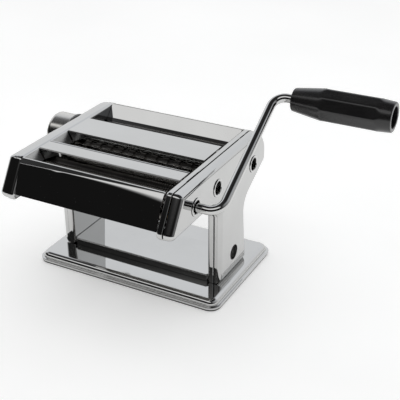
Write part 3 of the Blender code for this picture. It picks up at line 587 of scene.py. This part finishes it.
def make_bezels():
    """Ring linings of the crank holes: a thin rounded flange that rolls over into the bore."""
    low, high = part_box("crank_bezel_front")
    start, end = low.x, high.x
    face = COVER_OUT + GAP
    lip = 0.0004
    roll = 0.0011
    profile = [(start, BEZEL_BORE), (start, BEZEL_NECK), (face, BEZEL_NECK), (face, BEZEL_RADIUS)]
    profile += [(end - lip + lip * sine, BEZEL_RADIUS - lip + lip * cosine) for sine, cosine in quarter(5)]
    profile += [(end - roll + roll * cosine, BEZEL_BORE + roll - roll * sine)
                for sine, cosine in quarter(8)]
    for label, axis in (("front", FINE_DRIVE), ("middle", WIDE_DRIVE), ("rear", REAR_ROLLER)):
        ring = turned(axis, profile, 64, closed=True)
        piece(f"bezel_{label}", ring, CHROME_FINE, [f"crank_bezel_{label}"])


def make_clamp_sleeve():
    low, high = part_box("clamp_socket")
    outer = (high.z - low.z) / 2
    profile = [(low.x, CLAMP_RADIUS), (low.x, outer), (high.x, outer), (high.x, CLAMP_RADIUS)]
    piece("clamp_sleeve", turned(CLAMP, profile, 48, closed=True), SATIN, ["clamp_socket"])


# Sheets between the housings

def make_guard():
    """The front guard: a flat rim, a sloped band and a bend that opens out towards the crank side."""
    top_y, top_z = GUARD_BOX[1].y, GUARD_BOX[1].z
    foot = Vector((top_y - GUARD_LEAN, BODY_TOP - GUARD_DROP))
    rim = 0.0014
    slope, fall = 38.0, 67.0        # degrees below the horizontal, before and after the bend
    steps, bend_steps = 48, 20

    def onwards(path, degrees, length):
        turn = math.radians(degrees)
        path.append(path[-1] - Vector((math.cos(turn), math.sin(turn))) * length)

    rings = []
    for i in range(steps + 1):
        share = i / steps
        dimple = math.exp(-((share - 0.27) / 0.03) ** 2)
        band = 0.0052 * (1 - share) + 0.0004
        bend = 0.0006 + 0.0016 * dimple + 0.0094 * share ** 2.4
        path = [Vector((top_y, top_z)), Vector((top_y - rim, top_z))]
        onwards(path, slope, band)
        for k in range(bend_steps):
            part = (k + 0.5) / bend_steps
            even = slope + (fall - slope) * part
            slow = 45.0 + 11.0 * part + 7.0 * (2 * part - 1) ** 5
            onwards(path, even + (slow - even) * share, bend / bend_steps)
        path.append(foot)
        rings.append((-SPAN + 2 * SPAN * share, strip([tuple(p) for p in path], SHEET)))
    piece("guard", lofted(rings), CHROME, ["front_guard"], sharp=25.0)


def folded_sheet(node, crease):
    """Section of a flat top sheet: a lip at its rear, a chute at its front and maybe a crease."""
    low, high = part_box(node)
    top = high.z
    lip = [(high.y, top - SHEET_LIP), (high.y, top), (high.y - 0.0016, top)]
    path = rounded_path(lip, 0.0008, 4)[:-1]
    if crease:
        at, half, depth = high.y - crease, 0.0010, 0.0004
        path += [Vector((at + half, top)), Vector((at, top - depth)), Vector((at - half, top))]
    edge = 0.0009
    path += [Vector((low.y + CHUTE_LEAN + edge, top)), Vector((low.y + CHUTE_LEAN - 0.0001, top - edge)),
             Vector((low.y + CHUTE_UPRIGHT, low.z + 0.0003))]
    return strip([tuple(p) for p in path], SHEET)


def make_top_sheets():
    for name, node, crease in (("divider", "divider_sheet", 0.0024), ("top_panel", "top_sheet", None)):
        sheet = prism(folded_sheet(node, crease), -SPAN, SPAN)
        piece(name, sheet, CHROME, [node], sharp=25.0)


def make_hopper_slope():
    """The hopper's front wall, with a thin lip that runs down towards the rear roller."""
    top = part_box("hopper_wall")[1].z
    foot = top - HOPPER_DROP
    wall = [(HOPPER_TOP_Y, top), (HOPPER_BOTTOM_Y + 0.0008, foot + 0.0009), (HOPPER_BOTTOM_Y, foot)]
    sheet = strip(wall, SHEET)
    lip_y = HOPPER_BOTTOM_Y - 0.0028
    section = sheet[:3] + [(lip_y, foot - 0.0014), (lip_y, foot - 0.0018)] + sheet[3:]
    piece("hopper_slope", prism(section, -SPAN, SPAN), CHROME, ["hopper_wall"])


def make_rear_hood():
    centre = (BODY_REAR - BULGE_RADIUS, BODY_TOP - BULGE_RADIUS)
    curve = strip(arc(centre, BULGE_RADIUS - GAP, REAR_GUARD_FOOT, REAR_GUARD_TOP, 32), SHEET)
    piece("rear_hood", prism(curve, -SPAN, SPAN), CHROME, ["rear_guard"])


def make_cheeks():
    """Sloped plates that close the left ends of the two cutter slots, from one sheet to the next."""
    divider_low, divider_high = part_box("divider_sheet")
    top_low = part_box("top_sheet")[0]
    spans = (("fine", GUARD_BOX[1].y + GAP, divider_low.y - GAP),
             ("wide", divider_high.y + GAP, top_low.y - GAP))
    high, low = BODY_TOP - 0.0012, FINE_DRIVE[1] + DISC_RADIUS + 0.0016
    left, right, sheet = -SPAN, -SPAN + CHEEK_REACH, 0.0008
    section = [(left, high), (right, low), (right, low - sheet), (left, high - 2 * sheet)]
    for label, front, rear in spans:
        bm = bmesh.new()
        loops = [[bm.verts.new((x, y, z)) for x, z in section] for y in (front, rear)]
        for vert in loops[1]:
            share = (vert.co.z - low) / (high - low)
            vert.co.y += (CHUTE_LEAN - CHUTE_UPRIGHT) * (1 + share)
        join_loops(bm, *loops)
        for loop in loops:
            bm.faces.new(loop)
        piece(f"{label}_slot_cheek", bm, SATIN, [])


# Rollers and cutters

def make_shaft(name, node, body_profile, sides, driven, finish, body):
    """A roller or cutter between two journals; a driven one has a six-sided socket in its crank end."""
    low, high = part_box(node)
    axis = axis_of(node)
    edge = 0.0004
    profile = [(low.x, JOURNAL_RADIUS - edge), (low.x + edge, JOURNAL_RADIUS),
               (-ROLLER_HALF, JOURNAL_RADIUS)]
    profile += body_profile
    profile += [(ROLLER_HALF, JOURNAL_RADIUS), (high.x - edge, JOURNAL_RADIUS),
                (high.x, JOURNAL_RADIUS - edge)]
    rings = [(x, circle(axis, radius, sides)) for x, radius in profile]
    if driven:
        rings += [(x, hexagon(axis, SOCKET_HALF, sides)) for x in (high.x, high.x - SOCKET_DEPTH)]
    piece(name, lofted(rings), finish, [node], body)


def disc_profile(width, offset):
    """Alternate discs and grooves of one width; offset shifts them by one so that a pair interleaves."""
    count = int(ROLLER_HALF * 2 / width)
    start = -count * width / 2
    play = 0.0001 if width < 0.004 else GAP
    profile = [(-ROLLER_HALF, GROOVE_RADIUS)]
    for i in range(offset, count, 2):
        left, right = start + i * width + play, start + (i + 1) * width - play
        profile += [(left, GROOVE_RADIUS), (left, DISC_RADIUS), (right, DISC_RADIUS),
                    (right, GROOVE_RADIUS)]
    profile.append((ROLLER_HALF, GROOVE_RADIUS))
    return profile


def make_cutters():
    for pair, width, sides in (("fine", FINE_DISC, 36), ("wide", WIDE_DISC, 48)):
        for role, offset in (("drive", 0), ("idle", 1)):
            profile = disc_profile(width, offset)
            # The discs take the darker blade steel, whose tone paints in the shade of the slots.
            make_shaft(f"{pair}_blades_{role}", f"{pair}_cutter_{role}", profile, sides, role == "drive",
                       SHADED_CUTTER_STEEL, f"{pair}_{role}")


def make_rollers():
    edge = 0.0006
    profile = [(-ROLLER_HALF, ROLLER_RADIUS - edge), (-ROLLER_HALF + edge, ROLLER_RADIUS),
               (ROLLER_HALF - edge, ROLLER_RADIUS), (ROLLER_HALF, ROLLER_RADIUS - edge)]
    make_shaft("smooth_roller_rear", "rear_roller", profile, 96, True, GROUND, "drive_roller")
    make_shaft("smooth_roller_front", "front_roller", profile, 96, False, GROUND, "idle_roller")


# Dial

def make_dial():
    """The knob, round at its rim and slightly crowned, and the ring behind it."""
    low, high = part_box("dial_knob")
    start, end = high.x, low.x
    radius, rounding, edge, crown = (high.z - low.z) / 2, 0.0050, 0.0006, 0.0008
    profile = [(start - DIAL_BORE_DEPTH, DIAL_BORE), (start, DIAL_BORE), (start, radius - edge),
               (start - edge, radius)]
    steps, last_turn = 11, math.radians(84.0)
    for i in range(steps + 1):
        turn = last_turn * i / steps
        profile.append((end + crown + rounding * (1 - math.sin(turn)),
                        radius - rounding * (1 - math.cos(turn))))
    rim = profile[-1]
    for i in range(1, 9):
        share = i / 8
        profile.append((end + (rim[0] - end) * (1 - share) ** 2, max(rim[1] * (1 - share), 0.0002)))
    piece("knob", turned(DIAL, profile, 96), CHROME_CAST, ["dial_knob"], "dial")
    low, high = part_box("dial_plate")
    outer, edge = (high.z - low.z) / 2, 0.0004
    profile = [(high.x, DIAL_BORE), (high.x, outer), (low.x + edge, outer), (low.x, outer - edge),
               (low.x, DIAL_BORE)]
    piece("dial_ring", turned(DIAL, profile, 96, closed=True), SATIN, ["dial_plate"])


# Crank

def swept(path, radius, sides, across):
    rings = []
    for i, point in enumerate(path):
        ahead = path[min(i + 1, len(path) - 1)] - path[max(i - 1, 0)]
        beside = across.cross(ahead.normalized()).normalized()
        angles = [2 * math.pi * k / sides for k in range(sides)]
        rings.append([point + across * (radius * math.cos(a)) + beside * (radius * math.sin(a))
                      for a in angles])
    return rings


def make_crank():
    """A bent rod whose six-sided tip turns into its round section just outside the socket."""
    low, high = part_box("crank_rod")
    grip_low, grip_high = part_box("grip")
    grip_y, grip_z = (grip_low.y + grip_high.y) / 2, (grip_low.z + grip_high.z) / 2
    arm_x = COVER_OUT + ARM_OFFSET
    corners = [(ROD_SHOULDER + GAP, *FINE_DRIVE), (arm_x, *FINE_DRIVE), (arm_x, grip_y, grip_z),
               (high.x, grip_y, grip_z)]
    across = Vector((0.0, -math.sin(ARM_ANGLE), math.cos(ARM_ANGLE)))
    sides = 36
    first = math.pi / 2 + ARM_ANGLE
    rings = []
    for x in (low.x, ROD_SHOULDER - 0.0002):
        ring = []
        for k in range(sides):
            angle = first - 2 * math.pi * k / sides
            reach = TIP_HALF / math.cos(angle % (math.pi / 3) - math.pi / 6)
            ring.append(Vector((x, FINE_DRIVE[0] + reach * math.cos(angle),
                                FINE_DRIVE[1] + reach * math.sin(angle))))
        rings.append(ring)
    rings += swept(rounded_path(corners, BEND_RADIUS, 14), ROD_RADIUS, sides, across)
    bm = bmesh.new()
    loops = [[bm.verts.new(spot) for spot in ring] for ring in rings]
    for a, b in zip(loops, loops[1:]):
        join_loops(bm, a, b)
    bm.faces.new(loops[0])
    bm.faces.new(loops[-1])
    piece("crank_arm", bm, CHROME_FINE, ["crank_rod"], "crank")


def make_rivet():
    low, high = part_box("grip_rivet")
    head = (high.z - low.z) / 2
    dome = [(low.x, head)] + [(low.x + 0.0006 + 0.0024 * sine, head * cosine + 0.0001)
                              for sine, cosine in quarter(8)]
    rivet = turned(axis_of("grip_rivet"), dome, 32)
    piece("rivet_head", rivet, CHROME_FINE, ["grip_rivet"], "crank")


def make_grip():
    """Moulded handle: a neck that swells into eight flats, then a short cone to an open hollow."""
    low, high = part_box("grip")
    axis = axis_of("grip")
    start, end = low.x, high.x
    neck, widest, flat, tip = GRIP_NECK_RADIUS, GRIP_RADIUS, GRIP_FLAT, GRIP_END_RADIUS
    bore, hollow_radius, hollow = ROD_RADIUS + 0.0004, GRIP_HOLLOW_RADIUS, end - GRIP_HOLLOW_DEPTH
    sides = 96
    facets_start, facets_end = start + 0.030, end - GRIP_END_CONE

    def ring(radius, half_flats):
        points = []
        for i in range(sides):
            angle = 2 * math.pi * i / sides
            reach = min(radius, half_flats / math.cos(angle % (math.pi / 4) - math.pi / 8))
            points.append((axis[0] + reach * math.cos(angle), axis[1] + reach * math.sin(angle)))
        return points

    round_only = 1.0
    lead = 0.0012
    sections = [(hollow, bore, round_only), (start + 0.0006, bore, round_only),
                (start, bore + 0.0006, round_only), (start, neck - 0.0014, round_only)]
    sections += [(start + lead - lead * cosine, neck - lead + lead * sine, round_only)
                 for sine, cosine in quarter(4)]
    for i in range(1, 13):
        share = i / 12
        sections.append((start + lead + (facets_start - 0.003 - start) * share,
                         neck + (widest - 0.0006 - neck) * (share ** 0.95), round_only))
    sections += [(facets_start, widest - 0.0002, flat + 0.0003), (facets_start + 0.002, widest, flat),
                 (facets_end - 0.002, widest, flat), (facets_end, widest - 0.0003, flat + 0.0002)]
    for i in range(1, 7):
        share = i / 6
        sections.append((facets_end + (end - 0.001 - facets_end) * share,
                         flat + 0.0002 - (flat + 0.0002 - tip) * share, round_only))
    sections += [(end - 0.0004, tip - 0.0003, round_only), (end, tip - 0.0009, round_only),
                 (end, hollow_radius + 0.0006, round_only),
                 (end - 0.0005, hollow_radius + 0.0001, round_only),
                 (end - 0.0012, hollow_radius, round_only), (hollow, hollow_radius - 0.0002, round_only)]
    bm = lofted([(x, ring(radius, flats)) for x, radius, flats in sections], closed=True)
    piece("handle", bm, PLASTIC, ["grip"], "crank_grip", sharp=18.0)


# What stays as CAD

def finish_cad_nodes():
    finishes = {BRONZE: ("fine_bearing", "wide_bearing", "rear_roller_bush", "front_roller_bush"),
                GEAR: ("fine_gear", "wide_gear", "rear_roller_gear", "front_roller_gear"),
                SATIN: ("dial_shaft", "fine_comb", "wide_comb", "scraper", "tie_rod", "tie_nut")}
    for name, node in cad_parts.items():
        for finish, starts in finishes.items():
            if name.startswith(starts):
                node.data.materials.clear()
                node.data.materials.append(finish)


# Studio

def make_floor():
    bm = bmesh.new()
    bmesh.ops.create_circle(bm, cap_ends=True, segments=96, radius=1.6)
    mesh = bpy.data.meshes.new("studio_floor")
    bm.to_mesh(mesh)
    bm.free()
    floor = bpy.data.objects.new("studio_floor", mesh)
    bpy.context.scene.collection.objects.link(floor)
    made, tree, shader = start_material("studio_paper")
    tone = ramp(tree, noise(tree, 3.0), [(0.3, (0.79, 0.79, 0.785)), (0.7, (0.82, 0.82, 0.815))])
    tree.links.new(tone, shader.inputs["Base Color"])
    shader.inputs["Roughness"].default_value = 0.9
    shader.inputs["Specular IOR Level"].default_value = 0.1
    tree.links.new(tone, shader.inputs["Emission Color"])
    shader.inputs["Emission Strength"].default_value = 0.50
    mesh.materials.append(made)


def make_world():
    """A studio by direction: pale behind and beside, a softbox over a dark front, a dark zenith."""
    world = bpy.data.worlds.new("studio")
    bpy.context.scene.world = world
    world.use_nodes = True
    tree = world.node_tree
    background = tree.nodes["Background"]
    coords = add_node(tree, "ShaderNodeTexCoord")

    def along(x, y, z):
        """How far a direction reaches along (x, y, z), set out over a ramp's whole width."""
        made = add_node(tree, "ShaderNodeVectorMath", operation="DOT_PRODUCT")
        tree.links.new(coords.outputs["Generated"], made.inputs[0])
        made.inputs[1].default_value = (x, y, z)
        return between(tree, made.outputs["Value"], 0.0, 1.0, -1.0, 1.0)

    def by_reach(factor, stops):
        return ramp(tree, factor, [((place + 1) / 2, colour) for place, colour in stops])

    def blend(factor, first, second):
        made = add_node(tree, "ShaderNodeMix", data_type="RGBA")
        tree.links.new(factor, made.inputs["Factor"])
        tree.links.new(first, made.inputs["A"])
        tree.links.new(second, made.inputs["B"])
        return made.outputs["Result"]

    upwards = along(0.0, 0.0, 1.0)
    rear = by_reach(upwards,
                    [(-0.06, (0.90, 0.90, 0.89)), (-0.045, (0.30, 0.30, 0.30)), (0.025, (0.33, 0.33, 0.33)),
                     (0.045, (0.88, 0.885, 0.89)), (0.30, (0.88, 0.89, 0.90)), (0.62, (0.86, 0.88, 0.91)),
                     (0.72, (0.70, 0.72, 0.76)), (0.79, (0.12, 0.12, 0.125)), (0.88, (0.03, 0.03, 0.03))])
    sides = by_reach(along(0.8, -0.6, 0.0),
                     [(-0.1, 1.0), (0.14, 0.75), (0.6, 0.5), (0.8, 0.33), (1.0, 0.15)])
    shaded = add_node(tree, "ShaderNodeMix", data_type="RGBA", blend_type="MULTIPLY")
    shaded.inputs["Factor"].default_value = 1.0
    tree.links.new(rear, shaded.inputs["A"])
    tree.links.new(sides, shaded.inputs["B"])
    softbox = [(0.46, 0.010), (0.54, 0.05), (0.60, 0.30), (0.66, 1.0), (0.86, 1.0), (0.91, 0.035)]
    front = by_reach(upwards, softbox)
    forwards = along(-0.25, -0.97, 0.0)
    shade = by_reach(upwards, [(0.0, 0.010), (0.90, 0.030)])
    front = blend(by_reach(forwards, [(0.44, 0.0), (0.54, 1.0)]), shade, front)
    facing = by_reach(forwards, [(0.15, 0.0), (0.40, 1.0)])
    seen = blend(facing, shaded.outputs["Result"], front)
    path = add_node(tree, "ShaderNodeLightPath")
    paper = add_node(tree, "ShaderNodeRGB")
    paper.outputs[0].default_value = (0.96, 0.96, 0.955, 1.0)
    tree.links.new(blend(path.outputs["Is Camera Ray"], seen, paper.outputs[0]), background.inputs["Color"])
    background.inputs["Strength"].default_value = 1.1


def area_light(name, place, target, size, power, glossy):
    data = bpy.data.lights.new(name, "AREA")
    data.shape = "RECTANGLE"
    data.size, data.size_y = size
    data.energy = power
    made = bpy.data.objects.new(name, data)
    made.location = place
    made.rotation_euler = (Vector(target) - Vector(place)).to_track_quat("-Z", "Y").to_euler()
    made.visible_glossy = glossy
    bpy.context.scene.collection.objects.link(made)


def make_lights():
    area_light("overhead", (0.0, 0.1, 2.2), (0.0, 0.0, 0.0), (2.8, 2.8), 27.0, False)


def make_camera():
    azimuth, elevation, roll = math.radians(27.93), math.radians(27.91), math.radians(-0.18)
    back = Vector((math.sin(azimuth) * math.cos(elevation), -math.cos(azimuth) * math.cos(elevation),
                   math.sin(elevation)))
    right = Vector((math.cos(azimuth), math.sin(azimuth), 0.0))
    up = back.cross(right)
    turned_right = right * math.cos(roll) + up * math.sin(roll)
    turned_up = up * math.cos(roll) - right * math.sin(roll)
    data = bpy.data.cameras.new("camera")
    data.sensor_width = 36.0
    data.lens = 77.66
    data.clip_start = 0.01
    made = bpy.data.objects.new("camera", data)
    made.matrix_world = Matrix((
        (turned_right.x, turned_up.x, back.x, 0.4125), (turned_right.y, turned_up.y, back.y, -0.6763),
        (turned_right.z, turned_up.z, back.z, 0.4860), (0.0, 0.0, 0.0, 1.0)))
    bpy.context.scene.collection.objects.link(made)
    bpy.context.scene.camera = made


make_camera()
make_world()
make_lights()
make_floor()
make_pan()
make_pad()
make_saddle()
make_frames()
make_covers()
make_bezels()
make_clamp_sleeve()
make_guard()
make_top_sheets()
make_hopper_slope()
make_rear_hood()
make_cheeks()
make_cutters()
make_rollers()
make_dial()
make_crank()
make_rivet()
make_grip()
finish_cad_nodes()
bpy.context.scene.view_settings.view_transform = "Standard"
